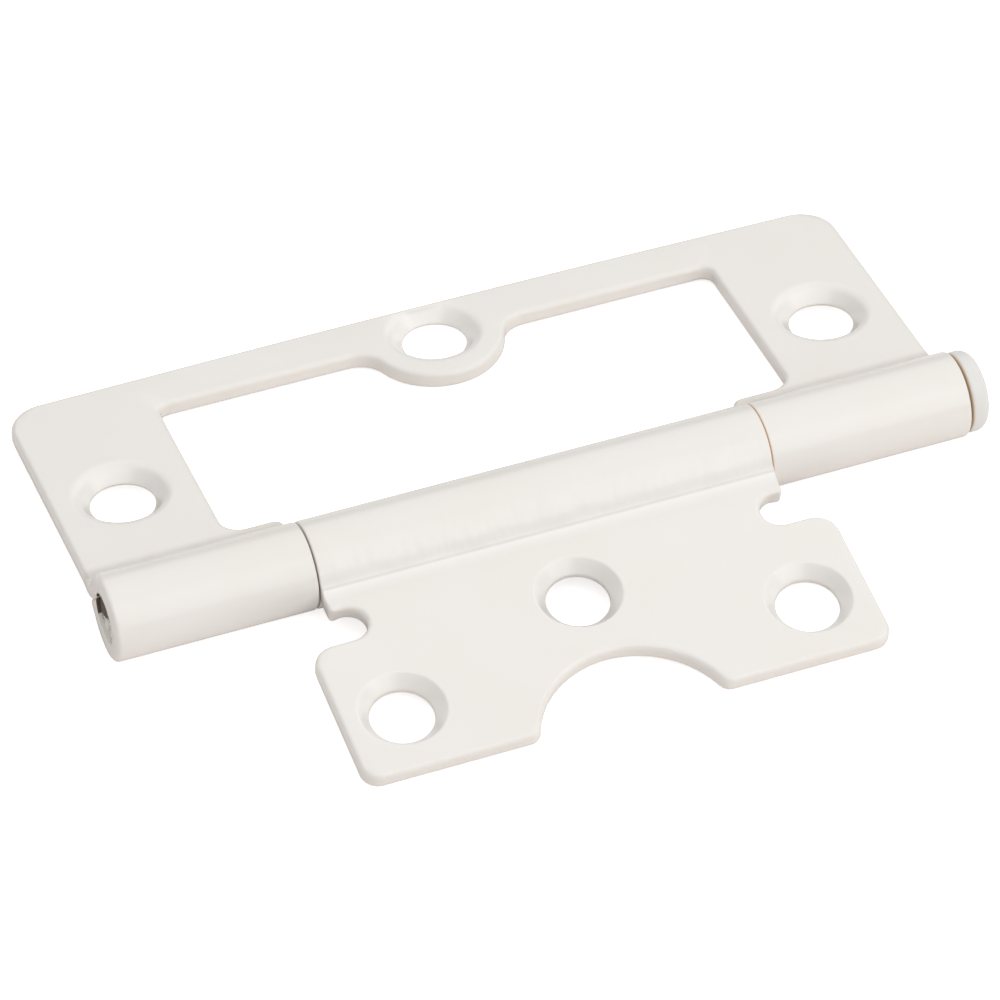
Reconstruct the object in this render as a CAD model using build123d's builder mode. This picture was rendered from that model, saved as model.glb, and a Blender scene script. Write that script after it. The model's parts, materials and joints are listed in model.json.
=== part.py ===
from build123d import *
from math import acos, asin, atan2, cos, degrees, hypot, sin, sqrt
import os

# A non-mortise cabinet hinge, all sizes in millimetres.
# Two leaves of sheet steel, each rolled into its own knuckles, turn on one loose pin.
# The frame leaf lies flat with its back face on XY and its countersunk side up.
# The origin is midway between the two end screw holes of the frame leaf, on its back face.
# +X runs along the pin to its head and +Y from the pin to the back bar of the frame leaf.

# Sheet, pin and rolled knuckles
sheet = 1.6
pin_diameter = 4.2
bore_clearance = 0.05
bend_radius = 1.8
seam_gap = 0.25

# Frame leaf. The middle countersink is pressed so near the back edge that the edge swells out in a shallow arc.
leaf_length = 76.2
frame_depth = 28.8
back_swell = 0.4
frame_corner_radius = 3.3
post_width = 12.6
bar_width = 4.3
window_corner_radius = 1.0
frame_tab = 1.0
tab_corner_radius = 0.9
tab_inner_radius = 1.8
lobe_radius = 6.05
lobe_flank_radius = 2.5
lobe_from_bar = 0.3
middle_hole_past_lobe = 0.3
end_hole_from_pin = 14.35
end_hole_from_edge = 6.2

# Insert leaf. Closed, it lies in the frame leaf's window with these gaps, and its notch goes round the lobe.
nest_gap_side = 2.35
nest_gap_back = 1.6
nest_gap_lobe = 2.3
notch_past_lobe = 0.35
notch_corner_radius = 1.2
insert_shift = -0.35
insert_front_radius = 1.6
insert_back_radius = 2.0
shoulder_width = 3.0
knuckle_gap_left = 0.22
knuckle_gap_right = 0.15
neck_flat = 0.85
neck_corner_radius = 0.4
relief_width = 3.2
relief_depth = 2.6
insert_end_hole_from_side = 5.3
insert_end_hole_from_edge = 6.0
middle_hole_share = 0.455

# Countersunk screw holes, the same in both leaves
screw_hole_radius = 2.7
countersink_radius = 3.7
countersink_angle = 82

# Pin
head_radius = 3.55
head_thickness = 1.8
head_back_round = 0.5
head_front_round = 1.0
head_gap = 0.2
pin_recess = 0.3
pin_end_round = 0.4

# Worked out from the sizes above
pin_radius = pin_diameter / 2
bore_radius = pin_radius + bore_clearance
knuckle_radius = bore_radius + sheet
half_sheet = sheet / 2
centre_distance = knuckle_radius + bend_radius
bend_rise = half_sheet + bend_radius
bend_start = sqrt(centre_distance**2 - bend_rise**2)
bend_angle = degrees(atan2(bend_rise, bend_start))
tab_edge = bend_start + frame_tab
neck_edge = bend_start + neck_flat
shoulder_edge = neck_edge + relief_width
half_leaf = leaf_length / 2
half_window = half_leaf - post_width
half_insert = half_window - nest_gap_side
half_knuckle = half_insert - shoulder_width
relief_centre = half_knuckle - relief_depth + relief_width / 2
bar_edge = frame_depth - bar_width
frame_reach = frame_depth + back_swell
swell_half_length = half_leaf - frame_corner_radius
lobe_from_pin = bar_edge + lobe_from_bar
middle_hole_from_pin = lobe_from_pin + middle_hole_past_lobe
insert_depth = bar_edge - nest_gap_back
notch_from_pin = lobe_from_pin + notch_past_lobe
notch_radius = lobe_radius + nest_gap_lobe
notch_edge = notch_from_pin - notch_radius
hole_half_spacing = half_leaf - end_hole_from_edge
gap_start = insert_shift - half_knuckle - knuckle_gap_left
gap_end = insert_shift + half_knuckle + knuckle_gap_right
insert_hole_half_spacing = half_insert - insert_end_hole_from_side
insert_end_hole_from_pin = insert_depth - insert_end_hole_from_edge
insert_middle_hole_from_pin = bend_start + middle_hole_share * (notch_edge - bend_start)
clear_of_roll = 2 * knuckle_radius
pin_start = pin_recess - half_leaf
head_back = half_leaf + head_gap
head_front = head_back + head_thickness
pin_y = -end_hole_from_pin
pin_z = half_sheet

# The hinge is modelled as it lies open on a table, with its knuckles and both free edges touching it.
# Each leaf leans down from the pin to its edge, so the insert leaf dips from the frame leaf's plane by both leans.
frame_lean = asin(knuckle_radius / hypot(frame_reach, half_sheet)) - atan2(half_sheet, frame_reach)
insert_lean = asin(knuckle_radius / hypot(insert_depth, half_sheet)) - atan2(half_sheet, insert_depth)
tilt = frame_lean + insert_lean

# Planes on the pin axis. In each, the first direction lies along the sheet, from the pin to the free edge.
frame_out = Vector(0, 1, 0)
frame_up = Vector(0, 0, 1)
insert_out = Vector(0, -cos(tilt), -sin(tilt))
insert_up = Vector(0, -sin(tilt), cos(tilt))
frame_section_plane = Plane(origin=(0, pin_y, pin_z), x_dir=frame_out, z_dir=(1, 0, 0))
frame_plan_plane = Plane(origin=(0, pin_y, pin_z), x_dir=(1, 0, 0), z_dir=frame_up)
insert_section_plane = Plane(origin=(insert_shift, pin_y, pin_z), x_dir=insert_out, z_dir=(-1, 0, 0))
insert_plan_plane = Plane(origin=(insert_shift, pin_y, pin_z), x_dir=(-1, 0, 0), z_dir=insert_up)
pin_profile_plane = Plane(origin=(0, pin_y, pin_z), x_dir=(1, 0, 0), z_dir=(0, -1, 0))


def seam_point(radius):
    # Where the cut end of the roll meets a circle round the pin, as an angle back from the bend in degrees.
    seam_radius = bend_radius + sheet + seam_gap
    along = (centre_distance**2 + radius**2 - seam_radius**2) / (2 * centre_distance)
    return degrees(acos(along / radius))


def rolled_section(reach):
    # The sheet edge on: flat out to reach, bent up off its own plane, and rolled once round the pin.
    # The cut end of the roll stops one seam gap short of the back of the bend.
    bend_centre = (bend_start, bend_rise)
    outer_turn = 360 - seam_point(knuckle_radius)
    inner_turn = 360 - seam_point(bore_radius)
    with BuildSketch() as section:
        with BuildLine():
            top_line = Line((reach, half_sheet), (bend_start, half_sheet))
            CenterArc(bend_centre, bend_radius, 270, bend_angle - 90)
            roll_outside = CenterArc((0, 0), knuckle_radius, bend_angle, outer_turn)
            roll_inside = CenterArc((0, 0), bore_radius, bend_angle, inner_turn)
            RadiusArc(roll_outside @ 1, roll_inside @ 1, bend_radius + sheet + seam_gap)
            CenterArc(bend_centre, bend_radius + sheet, 270, bend_angle - 90)
            back_line = Line((bend_start, -half_sheet), (reach, -half_sheet))
            Line(back_line @ 1, top_line @ 0)
        make_face()
    return section.sketch


# Frame leaf: the rolled sheet, trimmed to its plan outline and drilled
with BuildPart() as frame_leaf:
    with BuildSketch(frame_section_plane):
        add(rolled_section(frame_reach))
    extrude(amount=leaf_length, both=True)
    with BuildSketch(frame_plan_plane) as frame_plan:
        with BuildLine():
            FilletPolyline(
                (-half_leaf, -clear_of_roll),
                (gap_start, -clear_of_roll),
                (gap_start, tab_edge),
                (-half_window, tab_edge),
                (-half_window, bar_edge),
                (half_window, bar_edge),
                (half_window, tab_edge),
                (gap_end, tab_edge),
                (gap_end, -clear_of_roll),
                (half_leaf, -clear_of_roll),
                (half_leaf, frame_depth),
                (-half_leaf, frame_depth),
                radius=(
                    0,
                    0,
                    tab_corner_radius,
                    tab_inner_radius,
                    window_corner_radius,
                    window_corner_radius,
                    tab_inner_radius,
                    tab_corner_radius,
                    0,
                    0,
                    frame_corner_radius,
                    frame_corner_radius,
                ),
                close=True,
            )
        make_face()
        with BuildLine():
            back_arc = ThreePointArc(
                (-swell_half_length, frame_depth), (0, frame_reach), (swell_half_length, frame_depth)
            )
            Line(back_arc @ 0, back_arc @ 1)
        make_face()
        with BuildLine():
            lobe_arc = CenterArc((0, lobe_from_pin), lobe_radius, 180, 180)
            Line(lobe_arc @ 0, lobe_arc @ 1)
        make_face()
        fillet(frame_plan.vertices().sort_by_distance((0, bar_edge))[:2], lobe_flank_radius)
    extrude(amount=clear_of_roll, both=True, mode=Mode.INTERSECT)
    with Locations(frame_plan_plane.offset(half_sheet)):
        with Locations(
            (-hole_half_spacing, end_hole_from_pin),
            (0, middle_hole_from_pin),
            (hole_half_spacing, end_hole_from_pin),
        ):
            CounterSinkHole(screw_hole_radius, countersink_radius, sheet, countersink_angle)
frame_leaf.part.label = "frame_leaf"

# Insert leaf: the same rolled section facing the other way on the pin, with its own plan outline
with BuildPart() as insert_leaf:
    with BuildSketch(insert_section_plane):
        add(rolled_section(insert_depth))
    extrude(amount=leaf_length, both=True)
    with BuildSketch(insert_plan_plane) as insert_plan:
        with BuildLine():
            FilletPolyline(
                (0, insert_depth),
                (half_insert, insert_depth),
                (half_insert, shoulder_edge),
                (relief_centre, shoulder_edge),
                radius=(insert_front_radius, insert_back_radius),
            )
            CenterArc((relief_centre, shoulder_edge - relief_width / 2), relief_width / 2, 90, 180)
            FilletPolyline(
                (relief_centre, neck_edge),
                (half_knuckle, neck_edge),
                (half_knuckle, -clear_of_roll),
                (0, -clear_of_roll),
                radius=(neck_corner_radius, 0),
            )
            mirror(about=Plane.YZ)
        make_face()
        with Locations((0, notch_from_pin)):
            Circle(notch_radius, mode=Mode.SUBTRACT)
        fillet(insert_plan.vertices().sort_by_distance((0, insert_depth))[:2], notch_corner_radius)
    extrude(amount=clear_of_roll, both=True, mode=Mode.INTERSECT)
    with Locations(insert_plan_plane.offset(half_sheet)):
        with Locations(
            (-insert_hole_half_spacing, insert_end_hole_from_pin),
            (0, insert_middle_hole_from_pin),
            (insert_hole_half_spacing, insert_end_hole_from_pin),
        ):
            CounterSinkHole(screw_hole_radius, countersink_radius, sheet, countersink_angle)
insert_leaf.part.label = "insert_leaf"

# Pin: a plain shank with a button head, revolved about the pin axis
with BuildPart() as pin:
    with BuildSketch(pin_profile_plane):
        with BuildLine():
            profile = FilletPolyline(
                (pin_start, 0),
                (pin_start, pin_radius),
                (head_back, pin_radius),
                (head_back, head_radius),
                (head_front, head_radius),
                (head_front, 0),
                radius=(pin_end_round, 0, head_back_round, head_front_round),
            )
            Line(profile @ 1, profile @ 0)
        make_face()
    revolve(axis=Axis((0, pin_y, pin_z), (1, 0, 0)))
pin.part.label = "pin"

os.makedirs("parts", exist_ok=True)
export_step(frame_leaf.part, "parts/frame_leaf.step")
export_step(insert_leaf.part, "parts/insert_leaf.step")
export_step(pin.part, "parts/pin.step")
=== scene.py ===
import json
import math

import bmesh
import bpy
from mathutils import Matrix, Vector


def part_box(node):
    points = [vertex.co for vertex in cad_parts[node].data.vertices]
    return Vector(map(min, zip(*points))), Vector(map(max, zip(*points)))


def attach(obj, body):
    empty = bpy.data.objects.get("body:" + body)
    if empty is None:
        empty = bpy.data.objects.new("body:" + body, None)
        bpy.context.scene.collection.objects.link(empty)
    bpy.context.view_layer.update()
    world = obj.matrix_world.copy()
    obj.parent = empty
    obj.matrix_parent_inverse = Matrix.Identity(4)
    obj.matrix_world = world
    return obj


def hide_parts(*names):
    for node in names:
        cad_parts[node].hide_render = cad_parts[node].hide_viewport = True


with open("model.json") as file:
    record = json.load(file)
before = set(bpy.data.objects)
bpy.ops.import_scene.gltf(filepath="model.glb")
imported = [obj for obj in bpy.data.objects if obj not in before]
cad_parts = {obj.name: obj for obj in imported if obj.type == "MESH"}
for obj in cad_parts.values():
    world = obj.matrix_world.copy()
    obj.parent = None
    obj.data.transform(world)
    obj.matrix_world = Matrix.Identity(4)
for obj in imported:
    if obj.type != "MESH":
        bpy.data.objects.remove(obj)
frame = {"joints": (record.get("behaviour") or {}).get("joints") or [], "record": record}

# A painted non-mortise hinge: two leaves, each pressed flat and then rolled round one pin, on a white table.
# Lengths are metres. A leaf's blank lies in X and Y: X runs along the pin, and Y out from the pin's axis
# along the sheet. The blank's top face becomes the outside of its knuckles.

bl_info = {
    "name": "Non-mortise hinge",
    "version": (1, 0, 0),
    "blender": (4, 5, 0),
    "location": "View3D > Sidebar > Hinge",
    "description": "Builds a painted non-mortise hinge from its flat blanks",
    "category": "Add Mesh",
}

mm = 0.001

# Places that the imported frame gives
frame_low, frame_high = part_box("frame_leaf")
pin_low, pin_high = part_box("pin")
joints = {joint["name"]: joint for joint in frame["joints"]}
mounts = {mount["name"]: mount for mount in frame["record"]["mounts"]}
insert_shift, pin_y, pin_z = joints["leaf_swing"]["pos_m"]
insert_up = Vector(mounts["insert_back"]["axis"]) * -1
insert_tilt = math.atan2(-insert_up.y, insert_up.z)
sheet_thickness = 2 * pin_z
knuckle_radius = pin_y - frame_low.y
bore_radius = knuckle_radius - sheet_thickness
leaf_length = frame_high.x - frame_low.x
frame_reach = frame_high.y - pin_y
screw_radius = mounts["insert_middle_hole"]["dims"]["r_mm"] * mm
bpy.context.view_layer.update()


def length(name, description, millimetres):
    """A size of the hinge, in metres in the file and in the scene's unit in the panel."""
    return bpy.props.FloatProperty(
        name=name, description=description, default=millimetres * mm, unit="LENGTH", precision=5
    )


def angle(name, description, degrees):
    """An angle, in degrees in the panel."""
    return bpy.props.FloatProperty(
        name=name, description=description, default=math.radians(degrees), subtype="ANGLE"
    )


def share(name, description, default):
    """A part of a whole, from 0 to 1."""
    return bpy.props.FloatProperty(
        name=name, description=description, default=default, min=0, max=1, subtype="FACTOR"
    )


def colour(name, description, red, green, blue):
    """A colour, picked in the panel."""
    return bpy.props.FloatVectorProperty(
        name=name, description=description, default=(red, green, blue), subtype="COLOR", size=3
    )


class HingeSheet(bpy.types.PropertyGroup):
    """Sizes that both leaves share."""

    bend_radius: length("Bend radius", "Inside radius where the flat turns up into the roll", 1.8)
    seam_gap: length("Seam gap", "From the roll's cut end to the back of the bend", 0.08)
    edge_round: length("Edge round", "Radius that paint and press give to the cut edges", 0.5)
    gap_round: length("Gap round", "Radius of the knuckle ends at the tight gaps", 0.13)
    cut_round: length("Cut round", "Radius of the cut end of the roll", 0.06)
    corner_round: length("Corner round", "Radius of the cut edges at a sharp inside corner", 0.3)
    countersink_angle: angle("Countersink angle", "Full angle of the countersink", 82)
    lip_round: length("Lip round", "Radius where a countersink meets the hole's land", 0.12)
    bore_round: length("Bore round", "Radius of the bore's edge at a knuckle's end", 0.15)


class FrameLeafSizes(bpy.types.PropertyGroup):
    """Sizes of the leaf with the window."""

    back_swell: length("Back swell", "How far the back edge bows out beside the middle hole", 0.4)
    post_width: length("Post width", "From a side edge to the window", 12.6)
    bar_width: length("Bar width", "Width of the back bar at its ends", 4.3)
    corner: length("Corner", "Radius of the back corners", 3.3)
    window_corner: length("Window corner", "Radius of the window's back corners", 1.0)
    tab: length("Tab", "Flat beside the knuckles, past the bend", 1.0)
    tab_corner: length("Tab corner", "Radius of a tab's outer corner", 0.9)
    tab_inside: length("Tab inside corner", "Radius where a tab meets the window's side", 1.8)
    lobe_radius: length("Lobe radius", "Radius of the middle lobe", 6.05)
    lobe_from_bar: length("Lobe from bar", "The lobe's centre, past the bar's inner edge", 0.3)
    lobe_flank: length("Lobe flank", "Radius beside the lobe", 2.5)
    middle_hole: length("Middle hole", "Its centre, past the lobe's", 0.3)
    hole_from_side: length("End hole from side", "An end hole's centre from the side edge", 6.2)
    end_corner: length("End corner", "Radius of the outer corners at the cut end of the roll", 0.35)
    gap_round: length("Gap round", "Radius of the left knuckle's end at the gap", 0.25)
    head_end_round: length("Head end round", "Radius of the right knuckle's end at the pin's head", 0.2)
    countersink: length("Countersink", "Radius of a countersink at the face", 3.95)
    rim_round: length("Rim round", "Radius of a countersink's rim", 1.2)
    hole_back_round: length("Hole back round", "Radius of a hole's edge at the back face", 0.3)
    hole_over: length("Hole over", "A hole's radius over the screw's, where the paint is rubbed back", 0.1)
    # The dull line is a line of painted shade along the bend.
    crease: length("Crease", "Reach of the dull line along the bend", 1.0)
    crease_place: length("Crease place", "How far up the bend the dull line lies", 0.0)
    crease_depth: share("Crease depth", "How strong the dull line is", 1.0)


class InsertLeafSizes(bpy.types.PropertyGroup):
    """Sizes of the leaf that lies in the window when the hinge is closed."""

    side_gap: length("Side gap", "From the window's side when closed", 2.35)
    back_gap: length("Back gap", "From the bar's inner edge when closed", 1.6)
    lobe_gap: length("Lobe gap", "The notch's radius over the lobe's", 2.3)
    notch_past: length("Notch past lobe", "The notch's centre past the lobe's", 0.35)
    notch_corner: length("Notch corner", "Radius of the notch's corners", 1.2)
    shoulder: length("Shoulder", "From the side edge to the knuckle's end", 3.0)
    gap_left: length("Left gap", "Knuckle gap at the pin's bare end, inside the paint", 0.11)
    gap_right: length("Right gap", "Knuckle gap at the pin's head, inside the paint", 0.03)
    neck: length("Neck", "Flat between the bend and the reliefs", 0.85)
    neck_corner: length("Neck corner", "Radius of the neck's corners", 0.4)
    relief_width: length("Relief width", "Width of the relief slots", 3.2)
    relief_depth: length("Relief depth", "Depth of the slots past the knuckle's end", 2.6)
    front_corner: length("Front corner", "Radius of the front corners", 1.6)
    back_corner: length("Back corner", "Radius of the back corners", 2.0)
    hole_from_side: length("End hole from side", "An end hole's centre from the side edge", 5.3)
    hole_from_edge: length("End hole from edge", "An end hole's centre from the free edge", 6.0)
    middle_share: share("Middle hole", "Its place between the bend and the notch", 0.455)
    countersink: length("Countersink", "Radius of a countersink at the face", 3.7)
    rim_round: length("Rim round", "Radius of a countersink's rim", 0.35)
    hole_back_round: length("Hole back round", "Radius of a hole's edge at the back face", 0.12)
    hole_over: length("Hole over", "A hole's radius over the screw's, where the paint is rubbed back", 0.0)
    # The dull line is a line of painted shade along the bend.
    crease: length("Crease", "Reach of the dull line along the bend", 0.3)
    crease_place: length("Crease place", "How far up the bend the dull line lies", 1.75)
    crease_depth: share("Crease depth", "How strong the dull line is", 0.75)


class PinSizes(bpy.types.PropertyGroup):
    """Sizes of the loose pin."""

    radius: length("Radius", "Radius of the shank", 2.1)
    end_round: length("End round", "Radius of the cropped end", 0.4)
    head_thickness: length("Head", "Thickness of the head", 1.8)
    head_back_round: length("Head back round", "Radius at the head's back", 0.35)
    head_front_round: length("Head front round", "Radius at the head's front", 1.0)
    # The scorched end is the cropped end, darkened on one side with painted shade.
    cropped_length: length("Cropped length", "How far the scorched end reaches", 0.45)


class PaintLook(bpy.types.PropertyGroup):
    """The enamel, and the steel where it is bare."""

    warm: colour("Warm enamel", "Warmer patches of the enamel", 0.88, 0.8441, 0.7913)
    pale: colour("Pale enamel", "Paler patches of the enamel", 0.8976, 0.8741, 0.8364)
    # Thin enamel is partly painted shade: darker and warmer on the edge walls and countersink lips, as well
    # as enamel run thin.
    thin_and_shaded: colour("Thin enamel", "Where the enamel runs thin over an edge", 0.865, 0.82, 0.765)
    # Pooled enamel is thick enamel painted paler, as a painted highlight in the countersinks and the bend.
    pooled: colour("Pooled enamel", "Where the enamel stands thick in a countersink", 0.95, 0.93, 0.895)
    # The crease colour is painted shade in the bend beside a knuckle.
    crease: colour("Crease", "Where dust keeps in the bend beside a knuckle", 0.71, 0.66, 0.605)
    stain: colour("Stain", "Brown in the knuckle gap that the paint nearly closes", 0.8, 0.54, 0.3)
    # Inside the bores this dark steel is also painted shade.
    bare: colour("Bare steel", "Dull steel inside the knuckles", 0.12, 0.078, 0.046)
    head_dull: colour("Dull head", "Duller patches of the pin's head", 0.8008, 0.7927, 0.7626)
    head_pale: colour("Pale head", "Paler patches of the pin's head", 0.8272, 0.8142, 0.7831)
    head_stain: colour("Head stain", "Brown behind the pin's head", 0.56, 0.378, 0.21)
    shank_dull: colour("Dull shank", "Duller patches of the shank", 0.6, 0.6, 0.57)
    shank_bright: colour("Bright shank", "Brighter patches of the shank", 0.7, 0.7, 0.67)
    cropped_dull: colour("Dull cropped end", "Duller patches of the cropped end", 0.5, 0.51, 0.45)
    cropped_bright: colour("Bright cropped end", "Brighter patches of the cropped end", 0.95, 0.97, 0.88)
    # The scorch colour is painted shade on the cropped end's upper, back side, over the dull zone of the
    # shear.
    sheared_shade: colour("Scorch", "Dark side of the cropped end", 0.06, 0.042, 0.03)
    roughness: share("Roughness", "How dull the enamel is", 0.33)
    lump_height: length("Lumps", "Height of the slow waves in the enamel", 0.012)
    run_height: length("Runs", "Height of the runs on the insert leaf's knuckle", 0.26)
    peel_height: length("Orange peel", "Height of the fine waves", 0.0015)


class StageLook(bpy.types.PropertyGroup):
    """Table, lights and camera."""

    azimuth: angle("Azimuth", "Camera's turn round the hinge", -19.126)
    elevation: angle("Elevation", "Camera's height angle", 38.717)
    roll: angle("Roll", "Camera's roll about its line of sight", -2.545)
    distance: length("Distance", "From the camera to its aim", 466.35)
    aim: bpy.props.FloatVectorProperty(
        name="Aim",
        description="Where the camera looks",
        default=(-2.837 * mm, -12.947 * mm, 1.09 * mm),
        subtype="TRANSLATION",
        size=3,
    )
    lens: bpy.props.FloatProperty(name="Lens", description="Focal length in millimetres", default=200.75)
    table_colour: colour("Table colour", "Colour of the table", 0.93, 0.885, 0.87)
    table_white: bpy.props.FloatProperty(
        name="Table white", description="Lifts the table to white as the camera sees it", default=0.7
    )
    room_glow: bpy.props.FloatProperty(
        name="Room glow", description="Even light from the room round the table", default=0.28
    )


class HingeSettings(bpy.types.PropertyGroup):
    """Everything the panel shows."""

    sheet: bpy.props.PointerProperty(type=HingeSheet)
    frame_leaf: bpy.props.PointerProperty(type=FrameLeafSizes)
    insert_leaf: bpy.props.PointerProperty(type=InsertLeafSizes)
    pin: bpy.props.PointerProperty(type=PinSizes)
    paint: bpy.props.PointerProperty(type=PaintLook)
    stage: bpy.props.PointerProperty(type=StageLook)


# Flat outlines

def arc(centre, radius, start, sweep, step=math.radians(7.5)):
    """Points along an arc, both ends included."""
    count = max(3, math.ceil(abs(sweep) / step))
    points = []
    for index in range(count + 1):
        turn = start + sweep * index / count
        points.append(Vector((centre[0] + radius * math.cos(turn), centre[1] + radius * math.sin(turn))))
    return points


def rounded(corner, before, after, radius):
    """The arc that rounds one corner of an outline."""
    back = (before - corner).normalized()
    ahead = (after - corner).normalized()
    half = math.acos(max(-1, min(1, back.dot(ahead)))) / 2
    centre = corner + (back + ahead).normalized() * (radius / math.sin(half))
    start = corner + back * (radius / math.tan(half)) - centre
    sweep = math.pi - 2 * half
    if back.x * ahead.y - back.y * ahead.x > 0:
        sweep = -sweep
    return arc(centre, radius, math.atan2(start.y, start.x), sweep)


def outline(*path):
    """A closed outline from corners (x, y, radius) and from arcs given as lists of points."""
    ends = []
    for item in path:
        if isinstance(item, tuple):
            ends.append((Vector(item[:2]), Vector(item[:2])))
        else:
            ends.append((item[0], item[-1]))
    points = []
    for index, item in enumerate(path):
        if not isinstance(item, tuple):
            points += item
        elif item[2] == 0:
            points.append(ends[index][0])
        else:
            before = ends[index - 1][1]
            after = ends[(index + 1) % len(path)][0]
            points += rounded(ends[index][0], before, after, item[2])
    return points


def mirrored(points):
    """The points again on the other side of X = 0, in the order that goes on round the outline."""
    return [Vector((-point.x, point.y)) for point in reversed(points)]


def inset(points, distances):
    """A closed outline, running anticlockwise, with each point moved in by its own distance."""
    moved = []
    for index, point in enumerate(points):
        back = (point - points[index - 1]).normalized()
        ahead = (points[(index + 1) % len(points)] - point).normalized()
        across = Vector((-back.y - ahead.y, back.x + ahead.x)).normalized()
        stretch = 1 / max(0.5, across.dot(Vector((-ahead.y, ahead.x))))
        moved.append(point + across * distances[index] * stretch)
    return moved


# The blank: a flat plate with rounded edges and countersunk holes

def edge_rings(points, rounds, back_rounds, steps=4):
    """A cut edge from the top face to the bottom, as rings of (points, heights, edge mark, cone mark)."""
    half = sheet_thickness / 2
    faces = []
    for radii, side in ((rounds, 1), (back_rounds, -1)):
        rings = []
        for step in range(steps + 1):
            turn = math.pi / 2 * step / steps
            places = inset(points, [radius * (1 - math.sin(turn)) for radius in radii])
            heights = [side * (half - radius * (1 - math.cos(turn))) for radius in radii]
            rings.append((places, heights, step / steps, 0.0))
        faces.append(rings)
    return faces[0] + faces[1][::-1]


def hole_rings(centre, leaf_sizes, sizes, back_limit):
    """A countersunk hole from the top face to the bottom, its rim kept short of the leaf's back edge."""
    half = sheet_thickness / 2
    slope = math.tan(sizes.countersink_angle / 2)
    hole_radius = screw_radius + leaf_sizes.hole_over
    land_top = half - (leaf_sizes.countersink - hole_radius) / slope
    lip = sizes.lip_round
    rim_round = leaf_sizes.rim_round
    turn = math.pi / 2 - sizes.countersink_angle / 2
    rim_start = leaf_sizes.countersink + rim_round * math.tan(turn / 2)
    rim_steps, back_steps = 5, 3

    # From the face into the cone, over its rim: radius, height, edge mark and cone mark
    profile = []
    for step in range(rim_steps + 1):
        part = turn * step / rim_steps
        height = half - rim_round * (1 - math.cos(part))
        profile.append((rim_start - rim_round * math.sin(part), height, 0.04 * step, 0.2 * step))
    # Over the lip onto the straight land
    profile += [
        (hole_radius + lip, land_top + lip / slope, 0.3, 1.0),
        (hole_radius + 0.2 * lip, land_top, 0.6, 0.5),
        (hole_radius, land_top - 0.3 * lip, 1.0, 0.0),
    ]
    # Over the land's end onto the back face
    back = min(leaf_sizes.hole_back_round, land_top + half - 0.4 * lip)
    for step in range(back_steps + 1):
        part = math.pi / 2 * step / back_steps
        radius = hole_radius + back * (1 - math.cos(part))
        profile.append((radius, back * (1 - math.sin(part)) - half, 1 - 0.2 * step, 0.0))
    # A ring that would pass the leaf's back edge is flattened there, each one a little further in
    rings = []
    ring_step = math.radians(5)
    further_in = 0.03 * mm
    for step, (radius, height, edge, cone) in enumerate(profile):
        places = arc(centre, radius, 0, math.tau, ring_step)[:-1]
        limit = back_limit - further_in * step
        places = [Vector((place.x, min(place.y, limit))) for place in places]
        rings.append((places, [height] * len(places), edge, cone))
    return rings


def add_rings(blank, rings, closed_inwards):
    """Joins rings of points with quads and gives back the first and the last ring's edges."""
    edges, cones = blank.verts.layers.float["edge"], blank.verts.layers.float["pooled"]
    made = []
    for places, heights, edge, cone in rings:
        ring = [blank.verts.new((place.x, place.y, height)) for place, height in zip(places, heights)]
        for vert in ring:
            vert[edges] = edge
            vert[cones] = cone
        made.append(ring)
    for upper, lower in zip(made, made[1:]):
        for index in range(len(upper)):
            following = (index + 1) % len(upper)
            corners = (upper[index], lower[index], lower[following], upper[following])
            blank.faces.new(corners if closed_inwards else tuple(reversed(corners)))
    return [
        [blank.edges.get((ring[index], ring[(index + 1) % len(ring)])) for index in range(len(ring))]
        for ring in (made[0], made[-1])
    ]


def cut_across(blank, place):
    """Cuts the blank all through along a line beside the pin."""
    everything = blank.verts[:] + blank.edges[:] + blank.faces[:]
    bmesh.ops.bisect_plane(blank, geom=everything, dist=1e-8, plane_co=(0, place, 0), plane_no=(0, 1, 0))


def join_flat_faces(blank, limit):
    """Joins the flat faces on the knuckle's side of a cut, so that the next cuts leave even strips."""
    level = 0.9999
    flat = []
    for edge in blank.edges:
        faces = edge.link_faces
        if len(faces) == 2 and all(abs(face.normal.z) > level for face in faces):
            if all(face.calc_center_median().y < limit for face in faces):
                flat.append(edge)
    bmesh.ops.dissolve_edges(blank, edges=flat, use_verts=False, use_face_split=False)


def mark_bend(blank, leaf_sizes, rule):
    """Marks the painted shade line in the bend, the thick enamel round it that is painted paler as a painted
    highlight, and where runs lie on the knuckle.
    """
    crease, pooled, rolled = (blank.verts.layers.float[label] for label in ("crease", "pooled", "rolled"))
    for vert in blank.verts:
        away = abs(rule.bend_start - vert.co.y - leaf_sizes.crease_place) / leaf_sizes.crease
        vert[crease] = leaf_sizes.crease_depth * max(0.0, 1 - away)
        bent = (rule.bend_start - vert.co.y) / rule.bend_length
        vert[pooled] = max(vert[pooled], min(1.0, 2 * bent, 3 - 2 * bent))
        vert[rolled] = max(0.0, min(1.0, 2 * bent - 1.2, 2.2 - bent))


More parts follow.
